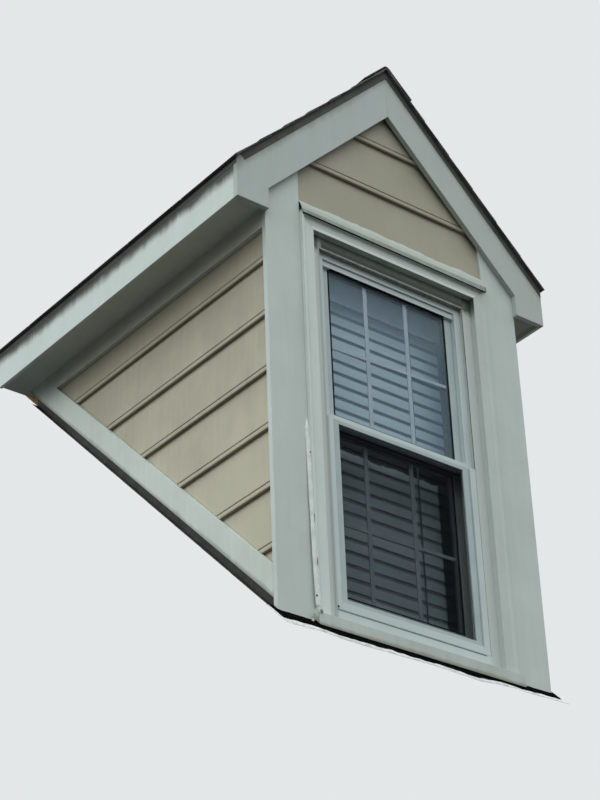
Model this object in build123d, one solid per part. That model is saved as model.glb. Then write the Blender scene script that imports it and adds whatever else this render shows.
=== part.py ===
from build123d import *
import math
import os

os.makedirs("parts", exist_ok=True)

# Gabled roof dormer with one double-hung window, cut off at the plane of the main roof.
# Millimetres. +Z is up, the front faces -Y and +X is to the right seen from inside the room.
# The origin lies on the bevelled sole of the front wall, on the centre line, and the plane
# that the walls stand on passes through it, rising towards +Y at the pitch of the main roof.

# Main roof below the dormer
main_pitch = 45.0          # slope of the main roof in degrees
roof_cover = 14.0          # height over the seat plane at which the trim stops, clear of the shingles
seat_in = 30.0             # from the face of the front wall in to the origin on its sole

# Walls
wall_t = 165.0             # front wall, framing with sheathing and plaster board
cheek_t = 114.0            # side walls
eave_h = 1389.0            # from the toe of the corner boards up to the underside of the eave

# Dormer roof
dormer_pitch = 45.0        # slope of the dormer roof in degrees
overhang = 148.0           # from the side sheathing out to the face of the fascia
fascia_h = 150.5           # from the underside of the eave to the top of the roof deck
deck_t = 12.0              # roof sheathing
rafter_t = 38.0            # rafter thickness
rafter_d = 89.0            # rafter depth
rafter_spacing = 406.0     # centre to centre of the rafters
ridge_t = 38.0             # ridge board thickness
ridge_d = 140.0            # ridge board depth
shingle_t = 8.0            # roof covering thickness
shingle_out = 12.0         # how far the covering passes the drip edges
cap_w = 150.0              # width of one wing of the ridge cap

# Trim boards
trim_t = 19.0              # thickness of corner boards and rake boards
corner_w = 139.5           # face width of a corner board
corner_lap = 25.5          # how far a corner board stands out past the side sheathing
rake_w = 139.7             # rake board, square to its slope
fascia_t = 12.0            # fascia board
return_lap = 3.0           # how far the eave return laps the corner board
soffit_up = 20.0           # soffit above the lower edge of the fascia
soffit_t = 9.0             # soffit panel
frieze_h = 70.0            # frieze board under the soffit
skirt_low = 42.0           # lower edge of the skirt board over the seat plane, plumb
skirt_h = 106.0            # skirt board, plumb

# Beaded lap siding
lap_exposure = 201.0       # exposed height of one course
cheek_top_course = 121.0   # exposed height of the top course on the side walls, under the frieze
gable_low_course = 170.0   # exposed height of the lowest course of the gable, over the head flashing
lap_butt = 14.0            # thickness at the lower edge of a course
lap_head = 6.0             # thickness at the top of a course
bead_h = 19.0              # height of the bead along the lower edge
bead_out = 3.0             # how far the bead swells out
bead_ease = 4.75           # height of the bead's slanted edges
groove = 2.5               # quirk between the bead and the face above it

# Sheet metal
metal_t = 1.0              # drip edges
drip_face = 24.0           # face of the drip edges
drip_top = 50.0            # leg of the drip edges on the roof deck
flashing_t = 1.5           # head flashing
apron_t = 1.2              # apron flashing
apron_out = 94.0           # how far the apron runs down the main roof from the wall, level
apron_past = 27.0          # how far the apron passes each corner board

# Window opening and its surround
casing_w = 51.0            # brick mould, face width
casing_t = 32.0            # brick mould, thickness
mould_lip = 9.0            # flat lip along the outer edge of the brick mould
mould_cove = 9.0           # width of the cove beside the lip
mould_drop = 7.0           # how far the flat of the brick mould lies below its lip
cap_out = 6.0              # how far the head flashing passes the face of the casing
cap_rise = 5.0             # top of the casing to the lip of the head flashing
cap_leg = 42.0             # upstand of the head flashing on the wall
cap_fall = 4.0             # fall of the head flashing from the wall to its lip
sill_out = 45.0            # sill nose from the wall face
sill_nose = 41.0           # height of the nose
sill_lift = 20.0           # underside of the sill over the seat plane, plumb
sill_top = 21.0            # front top edge of the sill over the toe
sill_fall = 9.0            # how far the top of the sill falls to the front
sill_past = 8.0            # horn of the sill over the corner board

# Double-hung window
win_w = 610.0              # outside width of the frame
win_h = 1272.0             # outside height of the frame
win_bottom = 75.0          # underside of the frame over the toe
win_gap = 6.0              # clearance of the frame in the wall opening, sides and head
fin_t = 3.0                # flange of the frame that lies on the wall
fin_side = 38.0            # flange beside the frame, up to the brick mould
fin_head = 45.0            # flange over the frame, up to the brick mould
fin_low = 45.0             # flange below the frame
frame_out = 4.0            # face of the frame in front of its flange
frame_d = 69.0             # depth of the frame behind the wall face
jamb_face = 25.0           # frame face at the sides
head_face = 16.0           # frame face at the head
sill_face = 27.0           # frame face at the foot
sash_t = 26.0              # thickness of both sashes
sash_gap = 0.5             # clearance of sashes and screen in the frame
stile_w = 30.0             # sash stiles
top_rail = 26.0            # top rail of the upper sash
meet_rail = 38.0           # both meeting rails
bottom_rail = 44.0         # bottom rail of the lower sash
meet_up = 11.0             # underside of the upper sash over the middle of the frame
meet_lap = 26.0            # how far the sashes pass each other
upper_in = 13.0            # front of the upper sash behind the wall face
glass_t = 16.0             # sealed glass unit
screen_t = 8.0             # insect screen frame
screen_in = 3.0            # front of the screen behind the wall face
screen_lap = 6.5           # how far the half screen laps the upper sash
screen_side = 25.0         # screen frame at the sides
screen_end = 14.0          # screen frame at top and foot
mesh_t = 1.0               # screen cloth

# Blind in the wall opening
blind_side = 12.0          # clearance of the slats in the opening at each side
blind_back = 34.0          # centre of the blind in from the room side of the wall
blind_foot = 170.0         # underside of the bottom rail over the toe
slat_w = 50.0              # slat width
slat_t = 3.0               # slat thickness
slat_pitch = 44.0          # slat spacing
slat_tilt = 80.0           # slat angle from level in degrees, the outer edge low
rail_h = 40.0              # head rail height
rail_d = 44.0              # head rail depth
foot_h = 14.0              # bottom rail height
foot_d = 25.0              # bottom rail depth
tape_w = 6.0               # width of the ladder tapes
tape_t = 2.0               # thickness of the ladder tapes
tape_in = 129.0            # ladder tapes in from the ends of the slats

# Cutting solids
past = 1.0                 # how far they pass the face that they start from

# Slopes and levels that follow from the values above
main_m = math.tan(math.radians(main_pitch))
roof_m = math.tan(math.radians(dormer_pitch))
roof_cos = math.cos(math.radians(dormer_pitch))
wall_y = -seat_in                              # face of the front wall
trim_y = wall_y - trim_t                       # face of the corner boards
rake_y = trim_y - trim_t                       # face of the rake boards
back_y = wall_y + wall_t                       # room side of the front wall
toe_z = trim_y * main_m + roof_cover           # toe of the corner boards
eave_z = toe_z + eave_h                        # underside of the eave
win_x = win_w / 2                              # side of the window frame
casing_x = win_x + fin_side                    # inner edge of the brick mould
inner_x = casing_x + casing_w                  # inner edge of a corner board
corner_x = inner_x + corner_w                  # outer edge of a corner board
half_w = corner_x - corner_lap                 # side sheathing, 1016 mm (40 in) over both
edge_x = half_w + overhang                     # face of the fascia
soffit_z = eave_z + soffit_up                  # underside of the soffit
peak_z = eave_z + fascia_h + edge_x * roof_m   # top of the roof deck at the ridge
run_y = peak_z / main_m                        # where the ridge meets the main roof
reach = 2 * (peak_z + edge_x + run_y)          # well past the whole dormer


def roof_z(x, depth=0.0):
    """Height of the dormer roof over x, at a depth square to the slope below the deck top."""
    return peak_z - abs(x) * roof_m - depth / roof_cos


def across(points, x_low, x_high):
    """Solid with an outline of (y, z) points, running along X."""
    plane = Plane(origin=(x_low, 0, 0), x_dir=(0, 1, 0), z_dir=(1, 0, 0))
    return extrude(plane * Polygon(*points, align=None), amount=x_high - x_low, dir=(1, 0, 0))


def along(points, y_low, y_high):
    """Solid with an outline of (x, z) points, running along Y."""
    plane = Plane(origin=(0, y_high, 0), x_dir=(1, 0, 0), z_dir=(0, -1, 0))
    return extrude(plane * Polygon(*points, align=None), amount=y_high - y_low, dir=(0, -1, 0))


def block(low, high):
    """Box between two corners."""
    size = [b - a for a, b in zip(low, high)]
    return Pos(*low) * Box(*size, align=(Align.MIN, Align.MIN, Align.MIN))


def over_main(lift):
    """All that lies above the plane of the main roof, raised by a plumb lift."""
    low_end = (-reach, -reach * main_m + lift)
    high_end = (reach, reach * main_m + lift)
    top = reach * main_m + reach
    return across([low_end, high_end, (reach, top), (-reach, top)], -reach, reach)


def under_roof(depth):
    """All that lies below both slopes of the dormer roof, at a depth below the deck top."""
    side = roof_z(reach, depth)
    foot = side - reach
    top = roof_z(0, depth)
    return along([(-reach, foot), (reach, foot), (reach, side), (0, top), (-reach, side)], -reach, reach)


def mirrored(solid):
    """The same piece on the other side of the centre line."""
    return mirror(solid, about=Plane.YZ)


pieces = {}


def pair(name, left):
    """A piece on the left, and its mirror image on the right."""
    pieces["left_" + name] = left
    pieces["right_" + name] = mirrored(left)


# Walls
win_z0 = toe_z + win_bottom
win_z1 = win_z0 + win_h
open_x = win_x + win_gap
open_z = win_z1 + win_gap

front_wall = block((-half_w, wall_y, toe_z - reach), (half_w, back_y, peak_z))
front_wall = front_wall & over_main(0) & under_roof(deck_t)
front_wall -= block((-open_x, wall_y - past, win_z0), (open_x, back_y + past, open_z))
pieces["front_wall"] = front_wall

cheek_top = deck_t + rafter_d
cheek_wall = block((-half_w, back_y, toe_z), (-half_w + cheek_t, reach, peak_z))
cheek_wall = cheek_wall & over_main(0) & under_roof(cheek_top)
pair("cheek_wall", cheek_wall)

# Roof frame
ridge_top = roof_z(ridge_t / 2, deck_t)
ridge_board = block((-ridge_t / 2, back_y, ridge_top - ridge_d), (ridge_t / 2, reach, ridge_top))
pieces["ridge_board"] = ridge_board & over_main(0)

tail_x = edge_x - fascia_t
rafter_outline = [
    (-ridge_t / 2, roof_z(ridge_t / 2, deck_t)),
    (-ridge_t / 2, roof_z(ridge_t / 2, cheek_top)),
    (-tail_x, roof_z(tail_x, cheek_top)),
    (-tail_x, roof_z(tail_x, deck_t)),
]
rafters = []
rafter_y = back_y
while rafter_y + rafter_t < roof_z(ridge_t / 2, cheek_top) / main_m:
    rafter = along(rafter_outline, rafter_y, rafter_y + rafter_t) & over_main(0)
    rafter &= block((-reach, back_y - past, soffit_z + soffit_t), (0, reach, peak_z))
    rafters.append(rafter)
    rafter_y += rafter_spacing
pair("rafters", Compound(children=[r.solid() for r in rafters]))

deck_outline = [
    (0, peak_z),
    (0, roof_z(0, deck_t)),
    (-edge_x, roof_z(edge_x, deck_t)),
    (-edge_x, roof_z(edge_x)),
]
pair("roof_deck", along(deck_outline, trim_y, reach) & over_main(0))

# Roof covering, laid over the upper leg of the drip edges
cover_x = edge_x + metal_t + shingle_out
cover_y = rake_y - metal_t - shingle_out
cover_low = -metal_t
cover_high = cover_low - shingle_t
cover_outline = [
    (0, roof_z(0, cover_low)),
    (-cover_x, roof_z(cover_x, cover_low)),
    (-cover_x, roof_z(cover_x, cover_high)),
    (0, roof_z(0, cover_high)),
]
pair("roof_shingles", along(cover_outline, cover_y, reach) & over_main(roof_cover))

cap_top = cover_high - shingle_t
cap_x = cap_w * roof_cos
cap_outline = [
    (0, roof_z(0, cover_high)),
    (-cap_x, roof_z(cap_x, cover_high)),
    (-cap_x, roof_z(cap_x, cap_top)),
    (0, roof_z(0, cap_top)),
    (cap_x, roof_z(cap_x, cap_top)),
    (cap_x, roof_z(cap_x, cover_high)),
]
pieces["ridge_cap"] = along(cap_outline, cover_y, reach) & over_main(roof_cover)

# Rake boards, cut plumb at the eave, and the small returns under them
heel_x = (roof_z(0, rake_w) - eave_z) / roof_m
rake_outline = [
    (0, peak_z),
    (-edge_x, roof_z(edge_x)),
    (-edge_x, eave_z),
    (-heel_x, eave_z),
    (0, roof_z(0, rake_w)),
]
pair("rake_board", along(rake_outline, rake_y, trim_y))

return_x = corner_x - return_lap
return_outline = [(-heel_x, eave_z), (-return_x, eave_z), (-return_x, roof_z(return_x, rake_w))]
left_return = along(return_outline, rake_y, trim_y)
pieces["eave_returns"] = Compound(children=[left_return.solid(), mirrored(left_return).solid()])

# Fascia and soffit
fascia_outline = [
    (-edge_x, eave_z),
    (-tail_x, eave_z),
    (-tail_x, roof_z(tail_x, deck_t)),
    (-edge_x, roof_z(edge_x, deck_t)),
]
pair("fascia", along(fascia_outline, trim_y, reach) & over_main(roof_cover))

soffit = block((-tail_x, trim_y, soffit_z), (-half_w, reach, soffit_z + soffit_t))
soffit -= block((-corner_x, trim_y - past, eave_z), (-half_w + past, wall_y, peak_z))
pair("soffit", soffit & over_main(roof_cover))

# Corner boards run up behind the rake boards
corner_board = block((-corner_x, trim_y, toe_z - reach), (-inner_x, wall_y, peak_z))
pair("corner_board", corner_board & over_main(roof_cover) & under_roof(deck_t))

# Skirt board along the main roof, and the frieze under the soffit
skirt_top = skirt_low + skirt_h
side_zone = block((-corner_x, wall_y, toe_z), (-half_w, reach, soffit_z))
pair("skirt_board", (side_zone & over_main(skirt_low)) - over_main(skirt_top))
frieze_z = soffit_z - frieze_h
frieze = block((-corner_x, wall_y, frieze_z), (-half_w, reach, soffit_z))
pair("frieze_board", frieze & over_main(skirt_top))


def lap_profile(first, z_low, z_high):
    """Edges of beaded lap siding as (out, z): one course after the other, bottom to top."""
    course = math.floor((z_low - first) / lap_exposure)
    z = first + course * lap_exposure
    points = []
    while z < z_high:
        points.append((lap_butt, z))
        points.append((lap_butt + bead_out, z + bead_ease))
        points.append((lap_butt + bead_out, z + bead_h - bead_ease))
        points.append((lap_butt, z + bead_h))
        points.append((lap_butt - groove, z + bead_h + groove))
        points.append((lap_butt, z + bead_h + 2 * groove))
        points.append((lap_head, z + lap_exposure))
        z += lap_exposure
    return points


# Siding on the side walls
cheek_profile = lap_profile(frieze_z - cheek_top_course, toe_z, frieze_z)
cheek_outline = [(-half_w - out, z) for out, z in cheek_profile]
cheek_outline = [(-half_w, cheek_profile[0][1])] + cheek_outline + [(-half_w, cheek_profile[-1][1])]
cheek_siding = along(cheek_outline, wall_y, reach) & over_main(skirt_top)
cheek_siding &= block((-edge_x, wall_y, toe_z), (0, reach, frieze_z))
pair("cheek_siding", cheek_siding)

# Head casing, its flashing and the siding of the gable
casing_z = win_z1 + fin_head
casing_top = casing_z + casing_w
cap_z = casing_top + cap_rise
leg_y = wall_y - flashing_t
cap_y = wall_y - casing_t - cap_out
flashing_outline = [
    (cap_y, casing_top - cap_rise),
    (cap_y, cap_z),
    (leg_y, cap_z + cap_fall),
    (leg_y, cap_z + cap_leg),
    (wall_y, cap_z + cap_leg),
    (wall_y, casing_top),
    (cap_y + flashing_t, casing_top),
    (cap_y + flashing_t, casing_top - cap_rise),
]
pieces["head_flashing"] = across(flashing_outline, -inner_x, inner_x)

gable_low = cap_z + cap_leg
gable_profile = lap_profile(gable_low + gable_low_course, gable_low, peak_z)
gable_outline = [(wall_y - out, z) for out, z in gable_profile]
gable_outline = [(wall_y, gable_profile[0][1])] + gable_outline + [(wall_y, gable_profile[-1][1])]
gable_siding = across(gable_outline, -inner_x, inner_x) & under_roof(deck_t)
gable_siding &= block((-inner_x, trim_y, gable_low), (inner_x, wall_y, peak_z))
pieces["gable_siding"] = gable_siding

# Window sill, its nose in front of the corner boards and its underside along the main roof
sill_z = toe_z + sill_top
sill_y = wall_y - sill_out
sill_outline = [
    (sill_y, sill_z - sill_nose),
    (sill_y, sill_z),
    (wall_y, sill_z + sill_fall),
    (wall_y, sill_z - sill_nose),
]
sill_body = across(sill_outline, -inner_x, inner_x)
sill_ends = across(sill_outline, -inner_x - sill_past, inner_x + sill_past)
sill_ends &= block((-reach, sill_y, sill_z - reach), (reach, trim_y, sill_z + sill_nose))
pieces["window_sill"] = (sill_body + sill_ends) & over_main(sill_lift)

# Brick mould: an outer lip, a cove and a flat face, mitred at the head

def mould_section():
    """Section of the brick mould: (0, 0) is the inner back edge, X runs outwards, Y to the front."""
    edge = Polyline(
        (mould_lip + mould_cove, casing_t - mould_drop),
        (0, casing_t - mould_drop),
        (0, 0),
        (casing_w, 0),
        (casing_w, casing_t),
        (casing_w - mould_lip, casing_t),
    )
    cove_start = (casing_w - mould_lip, casing_t)
    cove_low = (casing_w - mould_lip - mould_cove, casing_t - mould_drop)
    cove = RadiusArc(cove_start, cove_low, mould_cove + mould_drop)
    flat = Line(cove_low, (mould_lip + mould_cove, casing_t - mould_drop))
    return make_face(edge + cove + flat)


mould_plan = Plane(origin=(-casing_x, wall_y, toe_z), x_dir=(-1, 0, 0), z_dir=(0, 0, 1))
leg = extrude(mould_plan * mould_section(), amount=casing_top - toe_z, dir=(0, 0, 1))
sill_slope = [(sill_y, sill_z), (wall_y, sill_z + sill_fall), (wall_y, peak_z), (sill_y, peak_z)]
leg_mitre = [(-casing_x, casing_z), (-inner_x, casing_top), (-inner_x, toe_z), (-casing_x, toe_z)]
pair("casing", leg & across(sill_slope, -reach, reach) & along(leg_mitre, -reach, reach))

head_plan = Plane(origin=(-inner_x, wall_y, casing_z), x_dir=(0, 0, 1), z_dir=(1, 0, 0))
head_bar = extrude(head_plan * mould_section(), amount=2 * inner_x, dir=(1, 0, 0))
head_mitres = [(-casing_x, casing_z), (casing_x, casing_z), (inner_x, casing_top), (-inner_x, casing_top)]
pieces["head_casing"] = head_bar & along(head_mitres, -reach, reach)

# Window frame with its flange on the wall
fin_y = wall_y - fin_t
frame_back = wall_y + frame_d
face_y = fin_y - frame_out
frame_ring = block((-win_x, face_y, win_z0), (win_x, frame_back, win_z1))
frame_ring += block((-casing_x, fin_y, win_z0 - fin_low), (casing_x, wall_y, casing_z))
clear_x = win_x - jamb_face
clear_z0 = win_z0 + sill_face
clear_z1 = win_z1 - head_face
frame_ring -= block((-clear_x, face_y - past, clear_z0), (clear_x, frame_back + past, clear_z1))
pieces["window_frame"] = frame_ring


def sash(y_front, z_low, z_high, low_rail, high_rail):
    """A sash of two stiles and two rails, and the sealed glass in it."""
    out_x = clear_x - sash_gap
    in_x = out_x - stile_w
    day_low = z_low + low_rail
    day_high = z_high - high_rail
    ring = block((-out_x, y_front, z_low), (out_x, y_front + sash_t, z_high))
    ring -= block((-in_x, y_front - past, day_low), (in_x, y_front + sash_t + past, day_high))
    pane_y = y_front + (sash_t - glass_t) / 2
    pane = block((-in_x, pane_y, day_low), (in_x, pane_y + glass_t, day_high))
    return ring, pane


upper_y = wall_y + upper_in
lower_y = frame_back - sash_t - 2 * sash_gap
meet_z = (win_z0 + win_z1) / 2 + meet_up
lower_z0 = clear_z0 + sash_gap
lower_z1 = meet_z + meet_lap
pieces["upper_sash"], pieces["upper_glass"] = sash(upper_y, meet_z, clear_z1 - sash_gap, meet_rail, top_rail)
pieces["lower_sash"], pieces["lower_glass"] = sash(lower_y, lower_z0, lower_z1, bottom_rail, meet_rail)

# Half insect screen in front of the lower sash
screen_x = clear_x - sash_gap
screen_y = wall_y + screen_in
screen_top = meet_z + screen_lap
screen = block((-screen_x, screen_y, lower_z0), (screen_x, screen_y + screen_t, screen_top))
hole_x = screen_x - screen_side
hole_z0 = lower_z0 + screen_end
hole_z1 = screen_top - screen_end
screen -= block((-hole_x, screen_y - past, hole_z0), (hole_x, screen_y + screen_t + past, hole_z1))
cloth_y = screen_y + (screen_t - mesh_t) / 2
screen += block((-hole_x, cloth_y, hole_z0), (hole_x, cloth_y + mesh_t, hole_z1))
pieces["insect_screen"] = screen

# Blind: head rail under the head of the opening, tilted slats on two ladder tapes
blind_x = open_x - blind_side
blind_y = back_y - blind_back
foot_z = toe_z + blind_foot
head_rail = block((-blind_x, blind_y - rail_d / 2, open_z - rail_h), (blind_x, blind_y + rail_d / 2, open_z))
foot_rail = block((-blind_x, blind_y - foot_d / 2, foot_z), (blind_x, blind_y + foot_d / 2, foot_z + foot_h))
pieces["blind_rails"] = Compound(children=[head_rail.solid(), foot_rail.solid()])
slat_half = slat_w / 2 * math.sin(math.radians(slat_tilt)) + slat_t
slats = None
for side in (-1, 1):
    tape_x = side * (blind_x - tape_in)
    tape = block(
        (tape_x - tape_w / 2, blind_y - tape_t / 2, foot_z + foot_h),
        (tape_x + tape_w / 2, blind_y + tape_t / 2, open_z - rail_h),
    )
    slats = tape if slats is None else slats + tape
slat_z = foot_z + foot_h + slat_half
bars = []
while slat_z + slat_half < open_z - rail_h:
    bars.append(Pos(0, blind_y, slat_z) * Rot(slat_tilt, 0, 0) * Box(2 * blind_x, slat_w, slat_t))
    slat_z += slat_pitch
pieces["blind_slats"] = slats + bars

# Drip edges: a face over the board and a leg on the deck
rake_face = [
    (0, peak_z),
    (-edge_x, roof_z(edge_x)),
    (-edge_x, roof_z(edge_x, drip_face)),
    (0, roof_z(0, drip_face)),
]
rake_leg = [
    (0, roof_z(0, -metal_t)),
    (-edge_x, roof_z(edge_x, -metal_t)),
    (-edge_x, roof_z(edge_x)),
    (0, peak_z),
]
rake_drip = along(rake_face, rake_y - metal_t, rake_y) + along(rake_leg, rake_y - metal_t, rake_y + drip_top)
pair("rake_drip_edge", rake_drip)

eave_face = [
    (-edge_x - metal_t, roof_z(edge_x + metal_t, -metal_t)),
    (-edge_x, roof_z(edge_x, -metal_t)),
    (-edge_x, roof_z(edge_x) - drip_face),
    (-edge_x - metal_t, roof_z(edge_x) - drip_face),
]
leg_x = edge_x - drip_top * roof_cos
eave_leg = [
    (-edge_x, roof_z(edge_x, -metal_t)),
    (-leg_x, roof_z(leg_x, -metal_t)),
    (-leg_x, roof_z(leg_x)),
    (-edge_x, roof_z(edge_x)),
]
eave_drip = along(eave_face, rake_y, reach) + along(eave_leg, rake_y + drip_top, reach)
pair("eave_drip_edge", eave_drip & over_main(roof_cover))

# Apron flashing on the main roof below the sill
apron_x = corner_x + apron_past
apron = block((-apron_x, wall_y - apron_out, toe_z - reach), (apron_x, wall_y, peak_z))
apron_drop = apron_t / math.cos(math.radians(main_pitch))
pieces["apron_flashing"] = (apron & over_main(roof_cover - apron_drop)) - over_main(roof_cover)

for name, solid in pieces.items():
    export_step(solid, os.path.join("parts", name + ".step"))
print(len(pieces), "nodes")
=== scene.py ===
import bpy
import math
import random
from mathutils import Matrix, Vector, noise


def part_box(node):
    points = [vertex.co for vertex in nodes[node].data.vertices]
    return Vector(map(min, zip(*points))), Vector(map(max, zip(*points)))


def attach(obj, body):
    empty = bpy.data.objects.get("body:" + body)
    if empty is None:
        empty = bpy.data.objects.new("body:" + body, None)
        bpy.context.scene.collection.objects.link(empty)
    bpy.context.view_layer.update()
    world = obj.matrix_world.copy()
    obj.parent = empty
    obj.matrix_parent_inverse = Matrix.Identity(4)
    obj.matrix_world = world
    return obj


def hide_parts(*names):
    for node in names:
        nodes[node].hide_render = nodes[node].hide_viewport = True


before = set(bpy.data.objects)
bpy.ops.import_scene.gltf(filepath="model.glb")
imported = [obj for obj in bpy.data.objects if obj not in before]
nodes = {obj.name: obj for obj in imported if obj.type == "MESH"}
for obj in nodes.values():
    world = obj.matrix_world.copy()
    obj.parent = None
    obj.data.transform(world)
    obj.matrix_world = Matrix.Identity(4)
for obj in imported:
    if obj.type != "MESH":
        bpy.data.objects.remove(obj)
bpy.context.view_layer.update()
mm = 0.001
bpy.ops.object.select_all(action="DESELECT")

# Camera: below the dormer and off its left corner, looking up as the photo was taken.
# A long lens on a small sensor frame, so the verticals lean only a little.
scene = bpy.context.scene
camera_data = bpy.data.cameras.new("camera")
camera = bpy.data.objects.new("camera", camera_data)
scene.collection.objects.link(camera)
scene.camera = camera
photo_long_side = 800.0
focal_pixels = 2217.6
camera_data.sensor_fit = "AUTO"
camera_data.sensor_width = 36.0
camera_data.lens = focal_pixels / photo_long_side * camera_data.sensor_width
camera_data.clip_end = 2000.0
turn_right = math.radians(39.304)
tilt_up = math.radians(31.03)
roll = math.radians(-2.321)
camera.matrix_world = (
    Matrix.Translation((-4.062, -4.495, -2.760))
    @ Matrix.Rotation(-turn_right, 4, "Z")
    @ Matrix.Rotation(math.radians(90.0) + tilt_up, 4, "X")
    @ Matrix.Rotation(roll, 4, "Z")
)


# Light: a closed grey sky, open overhead and to the left, weaker down at the horizon and
# faint from below, as over a dark roof. The camera, gloss and glass see a plain pale backdrop.
def linear(code):
    """Linear colour of an sRGB hex code."""
    parts = [int(code[i:i + 2], 16) / 255 for i in (1, 3, 5)]
    return [c / 12.92 if c <= 0.04045 else ((c + 0.055) / 1.055) ** 2.4 for c in parts] + [1.0]


def wire(node, links):
    """Sets a node's inputs to numbers or hex colours, or links them to a socket or a node's result."""
    for key, value in links.items():
        if isinstance(value, bpy.types.Node):
            value = next(result for result in value.outputs if result.enabled)
        if isinstance(value, bpy.types.NodeSocket):
            node.id_data.links.new(value, node.inputs[key])
        else:
            node.inputs[key].default_value = linear(value) if isinstance(value, str) else value


def add(tree, kind, links, **settings):
    """Adds a node with its settings and links. A ramp's stops are (place, hex colour or grey)."""
    node = tree.nodes.new("ShaderNode" + kind)
    for name, value in settings.items():
        if name != "stops":
            setattr(node, name, value)
            continue
        while len(node.color_ramp.elements) < len(value):
            node.color_ramp.elements.new(0.5)
        for element, (place, colour) in zip(node.color_ramp.elements, value):
            element.position = place
            element.color = linear(colour) if isinstance(colour, str) else [colour] * 3 + [1.0]
    wire(node, links)
    return node


def looked_at(tree):
    """1 for a ray from the camera, off gloss or through glass, and 0 for one that lights a surface."""
    ray = add(tree, "LightPath", {}).outputs
    seen = add(tree, "Math", {0: ray["Is Camera Ray"], 1: ray["Is Glossy Ray"]}, operation="MAXIMUM")
    return add(tree, "Math", {0: seen, 1: ray["Is Transmission Ray"]}, operation="MAXIMUM")


scene.view_settings.view_transform = "Standard"
world = bpy.data.worlds.new("overcast")
scene.world = world
world.use_nodes = True
tree = world.node_tree
tree.nodes.clear()
sky_tint = (0.93, 1.0, 0.985, 1.0)
sky_levels = [(0.0, 0.13), (0.49, 0.14), (0.53, 0.20), (0.62, 0.68), (0.75, 1.8), (1.0, 2.6)]
sky_top = 3
left_gain = 0.375
way = add(tree, "TexCoord", {}).outputs["Generated"]
axes = add(tree, "SeparateXYZ", {0: way})
height = add(tree, "MapRange", {0: axes.outputs["Z"], 1: -1.0, 2: 1.0})
level = add(tree, "ValToRGB", {0: height}, stops=[(z, v / sky_top) for z, v in sky_levels])
left, right = sky_top * (1 + left_gain), sky_top * (1 - left_gain)
side_level = add(tree, "MapRange", {0: axes.outputs["X"], 1: -1.0, 2: 1.0, 3: left, 4: right})
tinted = add(tree, "Mix", {0: 1.0, 6: level, 7: sky_tint}, data_type="RGBA", blend_type="MULTIPLY")
light = add(tree, "Background", {"Color": tinted, "Strength": side_level})
backdrop = add(tree, "Background", {"Color": "#E4E7E8"})
sky = add(tree, "MixShader", {0: looked_at(tree), 1: light, 2: backdrop})
add(tree, "OutputWorld", {"Surface": sky})


# Floor: a plain pale sheet far below, seen only in views from above. It keeps the dormer's
# shadow, and is dark to stray light, so that it doesn't brighten the undersides.
def new_finish(name, roughness, gloss=0.5, others=None):
    """A material, its tree and its shader, with the values that are the same all over it."""
    finish = bpy.data.materials.new(name)
    finish.use_nodes = True
    shader = finish.node_tree.nodes["Principled BSDF"]
    wire(shader, {"Roughness": roughness, "Specular IOR Level": gloss} | (others or {}))
    return finish, finish.node_tree, shader


floor_size = 600.0
floor_z = -8.0
bpy.ops.mesh.primitive_plane_add(size=floor_size, location=(0, 0, floor_z))
floor = bpy.context.object
floor.name = "floor"
floor_finish, tree, shader = new_finish("pale_floor", 1.0, 0.0)
floor_tone = add(tree, "Mix", {0: looked_at(tree), 6: "#3C3C3C", 7: "#A2A4A5"}, data_type="RGBA")
wire(shader, {"Base Color": floor_tone})
floor.data.materials.append(floor_finish)


# Walls: stud walls with plywood outside and painted plaster board inside, standing on bevelled
# plates nailed to the roof deck. Each CAD wall is cut into its three layers.
def pick(piece):
    """Selects one object alone and makes it active."""
    bpy.ops.object.select_all(action="DESELECT")
    piece.select_set(True)
    bpy.context.view_layer.objects.active = piece


def cad_copy(node, name):
    """A copy of a CAD node, its loose triangles merged and its flat faces made whole."""
    piece = bpy.data.objects.new(name, nodes[node].data.copy())
    scene.collection.objects.link(piece)
    pick(piece)
    bpy.ops.mesh.customdata_custom_splitnormals_clear()
    bpy.ops.object.mode_set(mode="EDIT")
    bpy.ops.mesh.select_all(action="SELECT")
    bpy.ops.mesh.remove_doubles(threshold=0.02 * mm)
    bpy.ops.mesh.dissolve_limited(angle_limit=math.radians(0.5))
    bpy.ops.object.mode_set(mode="OBJECT")
    return piece


def cut(piece, point, normal):
    """Cuts a piece along a plane and keeps the side that the normal points to."""
    pick(piece)
    bpy.ops.object.mode_set(mode="EDIT")
    bpy.ops.mesh.select_all(action="SELECT")
    bpy.ops.mesh.bisect(plane_co=point, plane_no=normal, clear_inner=True, use_fill=True)
    bpy.ops.object.mode_set(mode="OBJECT")
    return piece


def fit(piece, finish, slot, *stands_for):
    """Gives a piece its material and makes it part of the dormer in place of CAD nodes. The slot argument is
    not used.
    """
    piece.data.materials.clear()
    piece.data.materials.append(finish)
    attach(piece, "root")
    if stands_for:
        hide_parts(*stands_for)
    return piece


def coat_faces(piece, finish, chosen):
    """Gives the faces for which chosen(face) holds a finish of their own."""
    piece.data.materials.append(finish)
    for face in piece.data.polygons:
        if chosen(face):
            face.material_index = len(piece.data.materials) - 1


def veil(tree, under, over, measure, start, full, least=0.0, most=1.0, fade="LINEAR"):
    """Lays a film over a colour: by least where measure is start, and by most where it is full."""
    reach = add(tree, "MapRange", {0: measure, 1: start, 2: full, 3: least, 4: most}, interpolation_type=fade)
    return add(tree, "Mix", {0: reach, 6: under, 7: over}, data_type="RGBA")


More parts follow.
